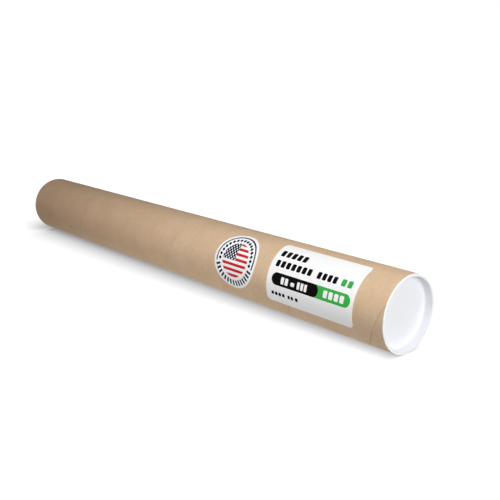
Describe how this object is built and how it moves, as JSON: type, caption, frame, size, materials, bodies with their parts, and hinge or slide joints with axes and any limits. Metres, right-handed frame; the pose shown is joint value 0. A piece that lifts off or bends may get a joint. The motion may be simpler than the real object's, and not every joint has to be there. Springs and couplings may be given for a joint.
{
  "type": "mailing tube",
  "caption": "Long spiral-wound kraft paper tube closed at each end by a push-in white plastic plug, with a wrapped paper label and a round sticker, for posting rolled sheets.",
  "frame": {"origin": "centre of the face that the tube stands on, the outer rim of its bottom plug", "axes": "+Z up the tube's axis to the top plug, which is the near end in the picture; the label faces between +X and -Y; -Y is up in the picture"},
  "size_m": [0.1058, 0.1056, 0.9172],
  "materials": {
    "kraft_board": "matte",
    "plug_plastic": "satin",
    "label_paper": "satin",
    "sticker_paper": "satin"
  },
  "bodies": {
    "tube": {"kraft_tube": "kraft_board", "paper_label": "label_paper", "round_sticker": "sticker_paper"},
    "top_plug": {"top_plug": "plug_plastic"},
    "bottom_plug": {"bottom_plug": "plug_plastic"}
  },
  "joints": [
    {"name": "top_plug_pull", "type": "slide", "parent": "tube", "child": "top_plug", "axis": [0, 0, 1], "range_m": [0, 0.12]},
    {"name": "bottom_plug_pull", "type": "slide", "parent": "tube", "child": "bottom_plug", "axis": [0, 0, -1], "range_m": [0, 0.12]}
  ]
}
